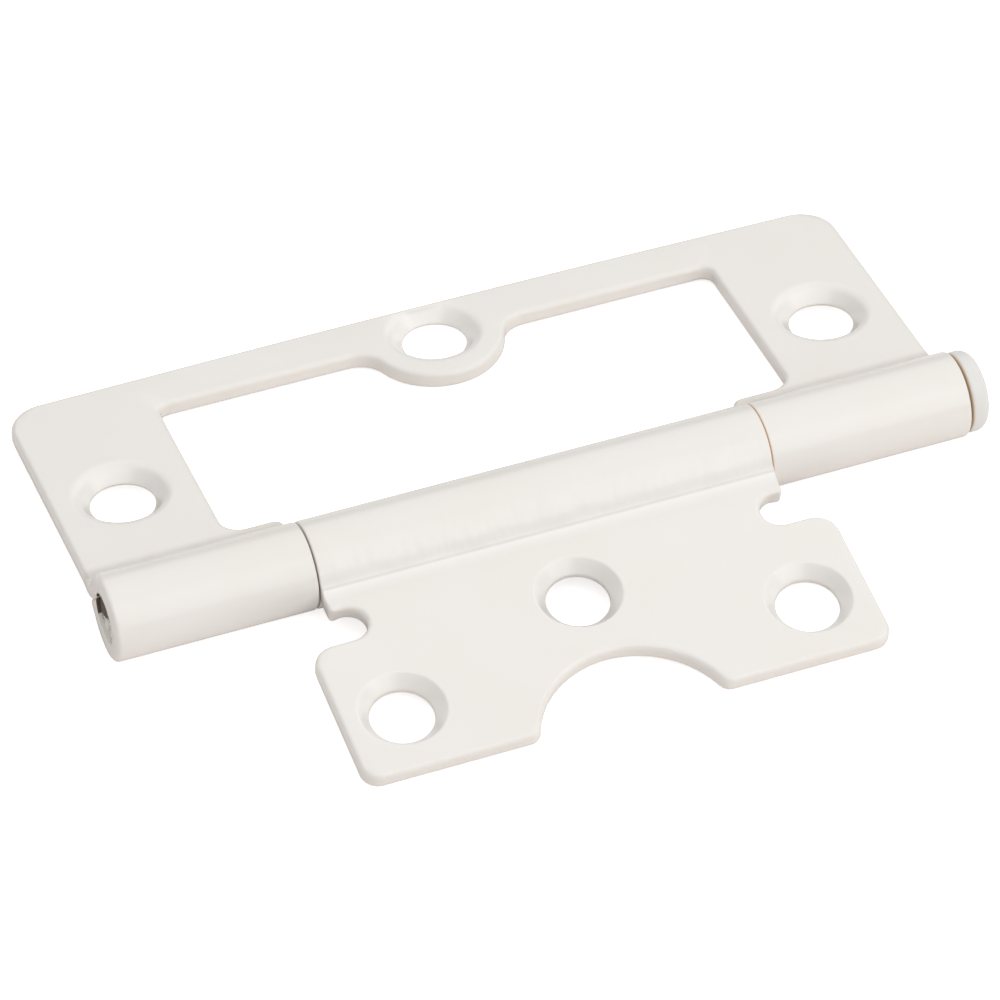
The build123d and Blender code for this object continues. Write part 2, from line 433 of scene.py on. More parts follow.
def make_blank(name, points, rounds, back_rounds, holes, leaf_sizes, rule):
    """The plate as a mesh: rounded outer edge, countersunk holes, and cut across where it will roll."""
    sizes = bpy.context.scene.hinge.sheet
    cuts = rule.cuts(leaf_sizes.crease)
    blank = bmesh.new()
    for label in ("edge", "pooled", "crease", "rolled"):
        blank.verts.layers.float.new(label)
    tops, bottoms = [], []
    top, bottom = add_rings(blank, edge_rings(points, rounds, back_rounds), True)
    tops += top
    bottoms += bottom
    back_limit = max(point.y for point in points) - sizes.edge_round - 0.02 * mm
    for centre in holes:
        top, bottom = add_rings(blank, hole_rings(centre, leaf_sizes, sizes, back_limit), False)
        tops += top
        bottoms += bottom
    for edges, facing in ((tops, 1), (bottoms, -1)):
        filled = bmesh.ops.triangle_fill(
            blank, use_beauty=True, use_dissolve=False, edges=edges, normal=(0, 0, facing)
        )
        for face in filled["geom"]:
            if isinstance(face, bmesh.types.BMFace) and face.normal.z * facing < 0:
                face.normal_flip()
    cut_across(blank, cuts[0])
    join_flat_faces(blank, cuts[0])
    for place in cuts[1:]:
        cut_across(blank, place)
    mark_bend(blank, leaf_sizes, rule)
    bmesh.ops.recalc_face_normals(blank, faces=blank.faces[:])
    mesh = bpy.data.meshes.new(name)
    blank.to_mesh(mesh)
    blank.free()
    mesh.shade_smooth()
    return mesh


class RollRule:
    """The numbers of the roll that the blank's outline needs."""

    def __init__(self, sizes):
        self.half = sheet_thickness / 2
        self.reach = knuckle_radius + sizes.bend_radius
        self.rise = self.half + sizes.bend_radius
        self.bend_start = math.sqrt(self.reach**2 - self.rise**2)
        self.bend_angle = math.atan2(self.rise, self.bend_start)
        self.bend_length = (sizes.bend_radius + self.half) * (math.pi / 2 - self.bend_angle)
        middle = bore_radius + self.half
        back = sizes.bend_radius + sheet_thickness + sizes.seam_gap
        seam = math.acos((self.reach**2 + middle**2 - back**2) / (2 * self.reach * middle))
        self.roll_length = middle * (math.tau - seam)
        self.cut_end = self.bend_start - self.bend_length - self.roll_length
        # Where the outline has extra points, so that the edge's radius can change between them
        self.near_cut = self.cut_end + 1.2 * mm
        self.near_bend = self.bend_start - 0.6 * mm
        # The cut end's corners are rounded by a little more than its edges
        self.cut_corner = sizes.cut_round * 1.05

    def cuts(self, crease, bend_steps=20, roll_steps=54):
        """Where the blank is cut across to bend and roll smoothly, first in the flat beside the bend."""
        flat = [self.bend_start + crease * part for part in (1.0, 0.75, 0.5, 0.25)]
        bend = [self.bend_start - self.bend_length * k / bend_steps for k in range(bend_steps + 1)]
        roll = [bend[-1] - self.roll_length * k / roll_steps for k in range(1, roll_steps)]
        return flat + bend + roll


# Rolling the blank with Geometry Nodes

class Value:
    """A number in a node tree, so that the rolling rule reads as a formula."""

    def __init__(self, tree, socket):
        self.tree = tree
        self.socket = socket

    def math(self, operation, *others):
        node = self.tree.nodes.new("ShaderNodeMath")
        node.operation = operation
        for slot, value in enumerate((self, *others)):
            if isinstance(value, Value):
                self.tree.links.new(value.socket, node.inputs[slot])
            else:
                node.inputs[slot].default_value = value
        return Value(self.tree, node.outputs[0])

    def __add__(self, other):
        return self.math("ADD", other)

    def __sub__(self, other):
        return self.math("SUBTRACT", other)

    def __mul__(self, other):
        return self.math("MULTIPLY", other)

    def __truediv__(self, other):
        return self.math("DIVIDE", other)

    def rest_of(self, whole):
        """whole minus this."""
        return (self * -1.0) + whole

    def switched(self, test, other):
        """This where test is 0, and other where it is 1."""
        return self + (other - self) * test


def new_tree(name, inputs):
    """Starts a Geometry Nodes tree, and gives back the tree, its input node and its inputs' identifiers."""
    tree = bpy.data.node_groups.new(name, "GeometryNodeTree")
    tree.interface.new_socket("Geometry", in_out="INPUT", socket_type="NodeSocketGeometry")
    identifiers = {}
    for label, kind in inputs:
        identifiers[label] = tree.interface.new_socket(label, in_out="INPUT", socket_type=kind).identifier
    tree.interface.new_socket("Geometry", in_out="OUTPUT", socket_type="NodeSocketGeometry")
    return tree, tree.nodes.new("NodeGroupInput"), identifiers


def finish_tree(tree, geometry, material):
    """Ends a tree in Realize Instances and Set Material."""
    realize = tree.nodes.new("GeometryNodeRealizeInstances")
    paint = tree.nodes.new("GeometryNodeSetMaterial")
    out = tree.nodes.new("NodeGroupOutput")
    tree.links.new(geometry, realize.inputs[0])
    tree.links.new(realize.outputs[0], paint.inputs["Geometry"])
    tree.links.new(material, paint.inputs["Material"])
    tree.links.new(paint.outputs[0], out.inputs[0])


def roll_tree():
    """Bends a flat blank up past Bend Start and rolls it round the pin, as the press does."""
    labels = ("Sheet", "Bore Radius", "Bend Radius", "Seam Gap")
    inputs = [(label, "NodeSocketFloat") for label in labels]
    inputs += [("Turn", "NodeSocketVector"), ("Place", "NodeSocketVector"), ("Finish", "NodeSocketMaterial")]
    tree, given, identifiers = new_tree("Roll the sheet", inputs)
    sheet, bore, bend, gap = (Value(tree, given.outputs[label]) for label in labels)
    half = sheet * 0.5
    reach = bore + sheet + bend
    rise = half + bend
    start = (reach * reach - rise * rise).math("SQRT")
    bend_angle = rise.math("ARCTAN2", start)
    middle_bend = bend + half
    bend_length = middle_bend * bend_angle.rest_of(math.pi / 2)
    back = bend + sheet + gap
    middle = bore + half

    def seam(radius):
        cosine = (reach * reach + radius * radius - back * back) / (reach * radius * 2.0)
        return cosine.math("ARCCOSINE")

    roll_length = middle * seam(middle).rest_of(math.tau)
    position = tree.nodes.new("GeometryNodeInputPosition")
    parts = tree.nodes.new("ShaderNodeSeparateXYZ")
    tree.links.new(position.outputs[0], parts.inputs[0])
    across, out, height = (Value(tree, parts.outputs[axis]) for axis in range(3))
    gone = start - out

    turned = gone.math("MINIMUM", bend_length) / middle_bend
    bend_out = start - (middle_bend - height) * turned.math("SINE")
    bend_up = rise - (middle_bend - height) * turned.math("COSINE")

    radius = middle + height
    gone_round = (gone - bend_length) / roll_length
    round_pin = bend_angle + gone_round * seam(radius).rest_of(math.tau)
    roll_out = radius * round_pin.math("COSINE")
    roll_up = radius * round_pin.math("SINE")

    bent = gone.math("GREATER_THAN", 0.0)
    rolled = gone.math("GREATER_THAN", bend_length)
    joined = tree.nodes.new("ShaderNodeCombineXYZ")
    tree.links.new(across.socket, joined.inputs[0])
    tree.links.new(out.switched(bent, bend_out).switched(rolled, roll_out).socket, joined.inputs[1])
    tree.links.new(height.switched(bent, bend_up).switched(rolled, roll_up).socket, joined.inputs[2])
    shaped = tree.nodes.new("GeometryNodeSetPosition")
    tree.links.new(given.outputs["Geometry"], shaped.inputs["Geometry"])
    tree.links.new(joined.outputs[0], shaped.inputs["Position"])
    placed = tree.nodes.new("GeometryNodeTransform")
    tree.links.new(shaped.outputs[0], placed.inputs["Geometry"])
    tree.links.new(given.outputs["Place"], placed.inputs["Translation"])
    tree.links.new(given.outputs["Turn"], placed.inputs["Rotation"])
    finish_tree(tree, placed.outputs[0], given.outputs["Finish"])
    return tree, identifiers


def grown(name, mesh, tree, identifiers, values):
    """Runs a tree on a mesh and gives back the plain result as a new object."""
    source = bpy.data.objects.new(name + "_blank", mesh)
    bpy.context.scene.collection.objects.link(source)
    modifier = source.modifiers.new("Rule", "NODES")
    modifier.node_group = tree
    for label, value in values.items():
        modifier[identifiers[label]] = value
    even = source.modifiers.new("Even shading", "WEIGHTED_NORMAL")
    even.mode = "FACE_AREA"
    even.weight = 100
    graph = bpy.context.evaluated_depsgraph_get()
    result = bpy.data.meshes.new_from_object(
        source.evaluated_get(graph), preserve_all_data_layers=True, depsgraph=graph
    )
    bpy.data.objects.remove(source)
    result.name = name
    piece = bpy.data.objects.new(name, result)
    bpy.context.scene.collection.objects.link(piece)
    return piece


def edge_rounds(points, rule, sizes, end_rounds, sharp_corners):
    """The edge's radius at each point. end_rounds gives each knuckle end's own, by the end's X."""
    cut_reach = 0.2 * mm
    end_reach = 0.05 * mm
    corner_reach = 0.6 * mm
    rounds = []
    for point in points:
        if point.y < rule.cut_end + cut_reach:
            rounds.append(sizes.cut_round)
            continue
        ends = [radius for place, radius in end_rounds.items() if abs(point.x - place) < end_reach]
        if ends and point.y < rule.bend_start:
            rounds.append(ends[0])
        elif any((point - Vector(corner)).length < corner_reach for corner in sharp_corners):
            rounds.append(sizes.corner_round)
        else:
            rounds.append(sizes.edge_round)
    # Twice round each way, so that the radius nowhere grows faster than this along the edge
    steepest = 0.35
    for index in list(range(len(points))) * 2:
        step = (points[index] - points[index - 1]).length
        rounds[index] = min(rounds[index], rounds[index - 1] + steepest * step)
    for index in list(reversed(range(len(points)))) * 2:
        step = (points[index] - points[index - 1]).length
        rounds[index - 1] = min(rounds[index - 1], rounds[index] + steepest * step)
    return rounds


def rolled_leaf(name, points, end_rounds, sharp_corners, holes, leaf_sizes, turn, place, finish):
    """One leaf: its blank, rolled and set on the pin."""
    sizes = bpy.context.scene.hinge.sheet
    rule = RollRule(sizes)
    rounds = edge_rounds(points, rule, sizes, end_rounds, sharp_corners)
    back_rounds = [
        min(radius, sizes.bore_round) if point.y < rule.bend_start else radius
        for point, radius in zip(points, rounds)
    ]
    mesh = make_blank(name, points, rounds, back_rounds, holes, leaf_sizes, rule)
    tree, identifiers = roll_tree()
    values = {
        "Sheet": sheet_thickness,
        "Bore Radius": bore_radius,
        "Bend Radius": sizes.bend_radius,
        "Seam Gap": sizes.seam_gap,
        "Turn": turn,
        "Place": place,
        "Finish": finish,
    }
    return grown(name, mesh, tree, identifiers, values)


# Turning the pin

def turned_mesh(name, profile, sides=72):
    """A closed mesh from a profile turned round the X axis. The profile starts and ends on the axis."""
    turned = bmesh.new()
    rings = []
    for point in profile:
        on_axis = point.y == 0
        turns = [math.tau * side / sides for side in range(1 if on_axis else sides)]
        rings.append([
            turned.verts.new((point.x, point.y * math.cos(turn), point.y * math.sin(turn)))
            for turn in turns
        ])
    for first, second in zip(rings, rings[1:]):
        for side in range(sides):
            following = (side + 1) % sides
            corners = (
                first[side % len(first)],
                second[side % len(second)],
                second[following % len(second)],
                first[following % len(first)],
            )
            # A ring of one point on the axis gives its corner twice, and once is enough
            turned.faces.new(dict.fromkeys(corners))
    bmesh.ops.recalc_face_normals(turned, faces=turned.faces[:])
    mesh = bpy.data.meshes.new(name)
    turned.to_mesh(mesh)
    turned.free()
    return mesh


# Materials

class Shader:
    """A material's node tree with short calls for the nodes that the finishes use."""

    def __init__(self, name):
        self.material = bpy.data.materials.new(name)
        self.material.use_nodes = True
        self.nodes = self.material.node_tree.nodes
        self.links = self.material.node_tree.links
        self.surface = next(node for node in self.nodes if node.type == "BSDF_PRINCIPLED")
        self.object = self.nodes.new("ShaderNodeTexCoord").outputs["Object"]

    def join(self, value, socket):
        """Links an output to a socket, or sets the socket to a plain value."""
        if isinstance(value, bpy.types.NodeSocket):
            self.links.new(value, socket)
        else:
            socket.default_value = value

    def math(self, operation, first, second=0.0):
        node = self.nodes.new("ShaderNodeMath")
        node.operation = operation
        self.join(first, node.inputs[0])
        self.join(second, node.inputs[1])
        return node.outputs[0]

    def noise(self, wave, detail=2.0, roughness=0.5, stretch=(1, 1, 1)):
        """Soft noise with waves of about this length."""
        mapping = self.nodes.new("ShaderNodeMapping")
        mapping.inputs["Scale"].default_value = stretch
        self.links.new(self.object, mapping.inputs["Vector"])
        node = self.nodes.new("ShaderNodeTexNoise")
        self.links.new(mapping.outputs[0], node.inputs["Vector"])
        node.inputs["Scale"].default_value = 1 / wave
        node.inputs["Detail"].default_value = detail
        node.inputs["Roughness"].default_value = roughness
        return node.outputs["Fac"]

    def ramp(self, value, low, high, start=0.0, end=1.0):
        """A value between low and high taken to start and end, smoothly and clamped."""
        node = self.nodes.new("ShaderNodeMapRange")
        node.interpolation_type = "SMOOTHSTEP"
        self.join(value, node.inputs["Value"])
        for label, number in (("From Min", low), ("From Max", high), ("To Min", start), ("To Max", end)):
            node.inputs[label].default_value = number
        return node.outputs["Result"]

    def mix(self, amount, first, second):
        """The first colour where amount is 0, and the second where it is 1."""
        node = self.nodes.new("ShaderNodeMix")
        node.data_type = "RGBA"
        self.join(amount, node.inputs["Factor"])
        self.join(first, node.inputs[6])
        self.join(second, node.inputs[7])
        return node.outputs[2]

    def bump(self, height, depth, before=None):
        """Bump of a height from 0 to 1 that stands depth metres tall."""
        node = self.nodes.new("ShaderNodeBump")
        node.inputs["Strength"].default_value = 1.0
        node.inputs["Distance"].default_value = depth
        self.join(height, node.inputs["Height"])
        if before is not None:
            self.links.new(before, node.inputs["Normal"])
        return node.outputs[0]


def solid(tint):
    """A colour with its alpha, as a colour socket takes it."""
    return (*tint, 1.0)


def enamel(name, runs=False):
    """Off-white enamel on sheet steel. Its runs, where asked for, are on the front of the knuckle."""
    look = bpy.context.scene.hinge.paint
    shader = Shader(name)
    surface = shader.surface
    surface.inputs["IOR"].default_value = 1.5
    surface.inputs["Coat Weight"].default_value = 0.6
    surface.inputs["Coat Roughness"].default_value = 0.1

    marks = {}
    for label in ("edge", "pooled", "crease", "rolled", "stain", "bare"):
        mark = shader.nodes.new("ShaderNodeAttribute")
        mark.attribute_name = label
        marks[label] = mark.outputs["Fac"]

    # Slow patches of warmer and paler enamel, and paler enamel in the countersinks and round the bend: enamel
    # standing thick there, painted paler as a painted highlight
    patches = shader.ramp(shader.noise(8 * mm, 3), 0.15, 0.85)
    tint = shader.mix(patches, solid(look.warm), solid(look.pale))
    # The paler tint in the countersinks and the bend is a painted highlight.
    tint = shader.mix(shader.math("MULTIPLY", marks["pooled"], 0.9), tint, solid(look.pooled))

    # Painted shade along the bend, made ragged, and enamel painted darker and warmer over the edges, where it
    # has run thin and as painted shade on the edge walls
    ragged = shader.noise(1.2 * mm, 3)
    ragged_shade = shader.ramp(ragged, 0.1, 0.9, 0.7, 1.0)
    crease_shade = shader.math("MULTIPLY", shader.ramp(marks["crease"], 0.0, 1.0), ragged_shade)
    tint = shader.mix(crease_shade, tint, solid(look.crease))
    # The edge tint is enamel run thin and also painted shade on the edge walls.
    thin_and_shaded = shader.math("MULTIPLY", marks["edge"], shader.ramp(ragged, 0.1, 0.9, 0.35, 0.95))
    tint = shader.mix(thin_and_shaded, tint, solid(look.thin_and_shaded))

    # Here and there a small dark speck in the enamel
    speck_spacing = 3.1 * mm
    speck = shader.nodes.new("ShaderNodeTexVoronoi")
    speck.inputs["Scale"].default_value = 1 / speck_spacing
    shader.links.new(shader.object, speck.inputs["Vector"])
    dot = shader.ramp(speck.outputs["Distance"], 0.012, 0.03, 1.0, 0.0)
    chosen = shader.ramp(shader.noise(4.3 * mm, 0), 0.56, 0.6)
    dark_dot = shader.math("MULTIPLY", shader.math("MULTIPLY", dot, chosen), 0.35)
    tint = shader.mix(dark_dot, tint, solid(look.bare))

    # Brown in the tight gap, and steel where the enamel doesn't reach, which in the bores is also painted
    # shade
    tint = shader.mix(marks["stain"], tint, solid(look.stain))
    bare_and_shaded = shader.ramp(shader.math("ADD", marks["bare"], shader.math("MULTIPLY", ragged, 0.3)), 0.5, 0.95)
    tint = shader.mix(bare_and_shaded, tint, solid(look.bare))
    shader.links.new(tint, surface.inputs["Base Color"])

    # Gloss, and under it slow waves, runs and orange peel
    rough = shader.ramp(shader.noise(5 * mm, 2), 0.2, 0.8, look.roughness - 0.03, look.roughness + 0.05)
    rough = shader.math("ADD", rough, shader.math("MULTIPLY", bare_and_shaded, 0.3))
    shader.links.new(rough, surface.inputs["Roughness"])
    lumps = shader.bump(shader.noise(4.5 * mm, 2, stretch=(0.45, 1, 1)), look.lump_height)
    if runs:
        rolled = shader.noise(2.6 * mm, 2, 0.55, stretch=(1, 0.5, 0.5))
        rolled = shader.math("MULTIPLY", rolled, marks["rolled"])
        lumps = shader.bump(rolled, look.run_height, lumps)
    peel = shader.bump(shader.noise(0.7 * mm, 2), look.peel_height, lumps)
    shader.links.new(peel, surface.inputs["Normal"])
    shader.links.new(peel, surface.inputs["Coat Normal"])
    return shader.material


def pin_finish():
    """Enamel on the pin's head. Its shank is bright steel, and its cropped end is darkened along its upper,
    back side as painted shade over the dull zone of the shear.
    """
    look = bpy.context.scene.hinge.paint
    sizes = bpy.context.scene.hinge.pin
    shader = Shader("pin_finish")
    surface = shader.surface
    axis = shader.nodes.new("ShaderNodeSeparateXYZ")
    shader.links.new(shader.object, axis.inputs[0])
    along, out, up = axis.outputs

    # The head: enamel in slow patches, with a brown line where it faces the knuckle
    head_back = pin_high.x - sizes.head_thickness
    painted = shader.math("GREATER_THAN", along, head_back - 0.02 * mm)
    patches = shader.ramp(shader.noise(3 * mm, 2), 0.15, 0.85)
    enamel_tint = shader.mix(patches, solid(look.head_dull), solid(look.head_pale))
    in_gap = shader.ramp(along, head_back + 0.02 * mm, head_back + 0.2 * mm, 1.0, 0.0)
    enamel_tint = shader.mix(in_gap, enamel_tint, solid(look.head_stain))

    # The steel: blotched, and at the cropped end dull, with painted shade towards the top and the back bar
    # over the dull zone of the shear
    blotch = shader.ramp(shader.noise(0.5 * mm, 4, 0.7), 0.3, 0.7)
    end_tint = shader.mix(blotch, solid(look.cropped_dull), solid(look.cropped_bright))
    shank_tint = shader.mix(blotch, solid(look.shank_dull), solid(look.shank_bright))
    at_end = shader.math("LESS_THAN", along, pin_low.x + sizes.cropped_length)
    steel_tint = shader.mix(at_end, shank_tint, end_tint)
    outward = shader.math("MULTIPLY", shader.math("SUBTRACT", out, pin_y), 0.45)
    upward = shader.math("MULTIPLY", shader.math("SUBTRACT", up, pin_z), 0.85)
    aslant = shader.math("ADD", outward, upward)
    ragged = shader.math("MULTIPLY", shader.math("SUBTRACT", shader.noise(0.45 * mm, 3), 0.5), 2.2 * mm)
    sheared_shade = shader.ramp(shader.math("ADD", aslant, ragged), -0.35 * mm, 0.05 * mm)
    sheared_shaded = shader.math("MULTIPLY", sheared_shade, at_end)
    steel_tint = shader.mix(sheared_shaded, steel_tint, solid(look.sheared_shade))
    shader.links.new(shader.mix(painted, steel_tint, enamel_tint), surface.inputs["Base Color"])

    metal = shader.math("SUBTRACT", shader.math("SUBTRACT", 1.0, painted), at_end)
    shader.links.new(shader.math("MAXIMUM", metal, 0.0), surface.inputs["Metallic"])
    rough = shader.ramp(blotch, 0.0, 1.0, 0.42, 0.32)
    rough = shader.math("ADD", rough, shader.math("MULTIPLY", sheared_shaded, 0.2))
    shader.links.new(rough, surface.inputs["Roughness"])

    # Dents and drawing marks in the steel, and a smooth wave in the enamel
    dents = shader.bump(shader.noise(0.4 * mm, 3), 0.03 * mm)
    marks = shader.bump(shader.noise(0.1 * mm, 2, stretch=(8, 1, 1)), 0.002 * mm, dents)
    smooth = shader.bump(shader.noise(2.5 * mm, 2), 0.01 * mm)
    normal = shader.nodes.new("ShaderNodeMix")
    normal.data_type = "VECTOR"
    shader.links.new(painted, normal.inputs[0])
    shader.links.new(marks, normal.inputs[4])
    shader.links.new(smooth, normal.inputs[5])
    shader.links.new(normal.outputs[1], surface.inputs["Normal"])
    return shader.material


def table_finish():
    """Matt white sheet of a light table."""
    shader = Shader("table_white")
    look = bpy.context.scene.hinge.stage
    shader.surface.inputs["Roughness"].default_value = 0.9
    shader.surface.inputs["Specular IOR Level"].default_value = 0.1
    shader.surface.inputs["Base Color"].default_value = solid(look.table_colour)
    shader.surface.inputs["Emission Color"].default_value = (1.0, 1.0, 1.0, 1.0)
    seen = shader.nodes.new("ShaderNodeLightPath").outputs["Is Camera Ray"]
    lifted = shader.math("MULTIPLY", seen, look.table_white)
    shader.links.new(lifted, shader.surface.inputs["Emission Strength"])
    return shader.material


def mark_gaps(piece, bare_gaps, stained_gap):
    """Marks bare steel in the bores and the wide gaps, and brown where paint nearly closes the tight gap. The
    dark bare steel in the bores is also painted shade.
    """
    bare = piece.data.attributes.new("bare", "FLOAT", "POINT")
    stain = piece.data.attributes.new("stain", "FLOAT", "POINT")
    edge = piece.data.attributes["edge"]
    near = 0.2 * mm
    paint_ends_below = 0.9 * mm
    for index, vert in enumerate(piece.data.vertices):
        from_axis = math.hypot(vert.co.y - pin_y, vert.co.z - pin_z)
        depth = (knuckle_radius - from_axis) / sheet_thickness
        if from_axis < bore_radius + 0.02 * mm:
            # Only the lower wall at the open end keeps its enamel; the dark bare steel above it is painted
            # shade as well as bare.
            painted = vert.co.x < pin_low.x and vert.co.z < pin_z - paint_ends_below
            bare.data[index].value = 0.1 if painted else 1.0
        elif depth > -0.1 and any(abs(vert.co.x - gap) < near for gap in bare_gaps):
            bare.data[index].value = edge.data[index].value * min(1.0, max(0.0, 1.6 * depth))
        elif depth > 0.0 and abs(vert.co.x - stained_gap) < near:
            stain.data[index].value = edge.data[index].value


# Operators

class HINGE_OT_frame_leaf(bpy.types.Operator):
    """Blank the frame leaf, roll its two knuckles and stand it in for the CAD leaf"""

    bl_idname = "hinge.frame_leaf"
    bl_label = "Frame leaf"

    def execute(self, context):
        hinge = context.scene.hinge
        sizes, insert = hinge.frame_leaf, hinge.insert_leaf
        rule = RollRule(hinge.sheet)
        half_leaf = leaf_length / 2
        frame_depth = frame_reach - sizes.back_swell
        half_window = half_leaf - sizes.post_width
        half_knuckle = half_window - insert.side_gap - insert.shoulder
        gap_start = insert_shift - half_knuckle - insert.gap_left
        gap_end = insert_shift + half_knuckle + insert.gap_right
        tab_edge = rule.bend_start + sizes.tab
        bar_edge = frame_depth - sizes.bar_width
        lobe_y = bar_edge + sizes.lobe_from_bar
        flank_y = bar_edge - sizes.lobe_flank
        flank_x = math.sqrt((sizes.lobe_radius + sizes.lobe_flank) ** 2 - (lobe_y - flank_y) ** 2)
        lean = math.atan2(lobe_y - flank_y, flank_x)
        flank = arc((-flank_x, flank_y), sizes.lobe_flank, math.pi / 2, lean - math.pi / 2)
        lobe = arc((0, lobe_y), sizes.lobe_radius, math.pi + lean, math.pi - 2 * lean)
        swell_x = half_leaf - sizes.corner
        swell_radius = (swell_x**2 + sizes.back_swell**2) / (2 * sizes.back_swell)
        swell_turn = math.asin(swell_x / swell_radius)
        swell_centre = (0, frame_reach - swell_radius)
        swell_step = math.radians(0.3)
        swell = arc(swell_centre, swell_radius, math.pi / 2 - swell_turn, 2 * swell_turn, swell_step)
        points = outline(
            (-half_leaf, rule.near_cut, 0),
            (-half_leaf, rule.cut_end, sizes.end_corner),
            (gap_start, rule.cut_end, rule.cut_corner),
            (gap_start, rule.near_cut, 0),
            (gap_start, rule.near_bend, 0),
            (gap_start, tab_edge, sizes.tab_corner),
            (-half_window, tab_edge, sizes.tab_inside),
            (-half_window, bar_edge, sizes.window_corner),
            flank,
            lobe[1:-1],
            mirrored(flank),
            (half_window, bar_edge, sizes.window_corner),
            (half_window, tab_edge, sizes.tab_inside),
            (gap_end, tab_edge, sizes.tab_corner),
            (gap_end, rule.near_bend, 0),
            (gap_end, rule.near_cut, 0),
            (gap_end, rule.cut_end, rule.cut_corner),
            (half_leaf, rule.cut_end, sizes.end_corner),
            (half_leaf, rule.near_cut, 0),
            (half_leaf, rule.near_bend, 0),
            (half_leaf, tab_edge, 0),
            (half_leaf, frame_depth, sizes.corner),
            swell[1:-1],
            (-half_leaf, frame_depth, sizes.corner),
            (-half_leaf, tab_edge, 0),
            (-half_leaf, rule.near_bend, 0),
        )
        hole_x = half_leaf - sizes.hole_from_side
        holes = ((-hole_x, -pin_y), (0, lobe_y + sizes.middle_hole), (hole_x, -pin_y))
        place = (0, pin_y, pin_z)
        finish = enamel("frame_leaf_enamel")
        ends = {
            gap_start: sizes.gap_round,
            gap_end: hinge.sheet.gap_round,
            half_leaf: sizes.head_end_round,
        }
        leaf = rolled_leaf("frame_leaf_painted", points, ends, (), holes, sizes, (0, 0, 0), place, finish)
        mark_gaps(leaf, (gap_start, half_leaf), gap_end)
        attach(leaf, "frame_leaf")
        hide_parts("frame_leaf")
        return {"FINISHED"}


class HINGE_OT_insert_leaf(bpy.types.Operator):
    """Blank the insert leaf, roll its knuckle and stand it in for the CAD leaf"""

    bl_idname = "hinge.insert_leaf"
    bl_label = "Insert leaf"

    def execute(self, context):
        hinge = context.scene.hinge
        window, sizes = hinge.frame_leaf, hinge.insert_leaf
        rule = RollRule(hinge.sheet)
        half = leaf_length / 2 - window.post_width - sizes.side_gap
        half_knuckle = half - sizes.shoulder
        bar_edge = frame_reach - window.back_swell - window.bar_width
        depth = bar_edge - sizes.back_gap
        neck_edge = rule.bend_start + sizes.neck
        shoulder_edge = neck_edge + sizes.relief_width
        relief_radius = sizes.relief_width / 2
        relief_x = half_knuckle - sizes.relief_depth + relief_radius
        relief = arc((relief_x, neck_edge + relief_radius), relief_radius, -math.pi / 2, -math.pi)
        notch_radius = window.lobe_radius + sizes.lobe_gap
        notch_y = bar_edge + window.lobe_from_bar + sizes.notch_past
        corner_y = depth - sizes.notch_corner
        corner_x = math.sqrt((notch_radius + sizes.notch_corner) ** 2 - (notch_y - corner_y) ** 2)
        lean = math.atan2(notch_y - corner_y, corner_x)
        notch_corner = arc((corner_x, corner_y), sizes.notch_corner, math.pi / 2, math.pi / 2 - lean)
        notch = arc((0, notch_y), notch_radius, -lean, 2 * lean - math.pi)
        points = outline(
            (-half_knuckle, rule.near_cut, 0),
            (-half_knuckle, rule.cut_end, rule.cut_corner),
            (half_knuckle, rule.cut_end, rule.cut_corner),
            (half_knuckle, rule.near_cut, 0),
            (half_knuckle, rule.near_bend, 0),
            (half_knuckle, neck_edge, sizes.neck_corner),
            relief,
            (half, shoulder_edge, sizes.back_corner),
            (half, depth, sizes.front_corner),
            notch_corner,
            notch[1:-1],
            mirrored(notch_corner),
            (-half, depth, sizes.front_corner),
            (-half, shoulder_edge, sizes.back_corner),
            mirrored(relief),
            (-half_knuckle, neck_edge, sizes.neck_corner),
            (-half_knuckle, rule.near_bend, 0),
        )
        hole_x = half - sizes.hole_from_side
        hole_y = depth - sizes.hole_from_edge
        middle_y = rule.bend_start + sizes.middle_share * (notch_y - notch_radius - rule.bend_start)
        holes = ((-hole_x, hole_y), (0, middle_y), (hole_x, hole_y))
        turn = (insert_tilt * -1, 0, math.pi)
        place = (insert_shift, pin_y, pin_z)
        finish = enamel("insert_leaf_enamel", runs=True)
        ends = {-half_knuckle: hinge.sheet.gap_round, half_knuckle: hinge.sheet.gap_round}
        corners = ((-half_knuckle, neck_edge), (half_knuckle, neck_edge))
        leaf = rolled_leaf("insert_leaf_painted", points, ends, corners, holes, sizes, turn, place, finish)
        mark_gaps(leaf, (insert_shift - half_knuckle,), insert_shift + half_knuckle)
        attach(leaf, "insert_leaf")
        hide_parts("insert_leaf")
        return {"FINISHED"}


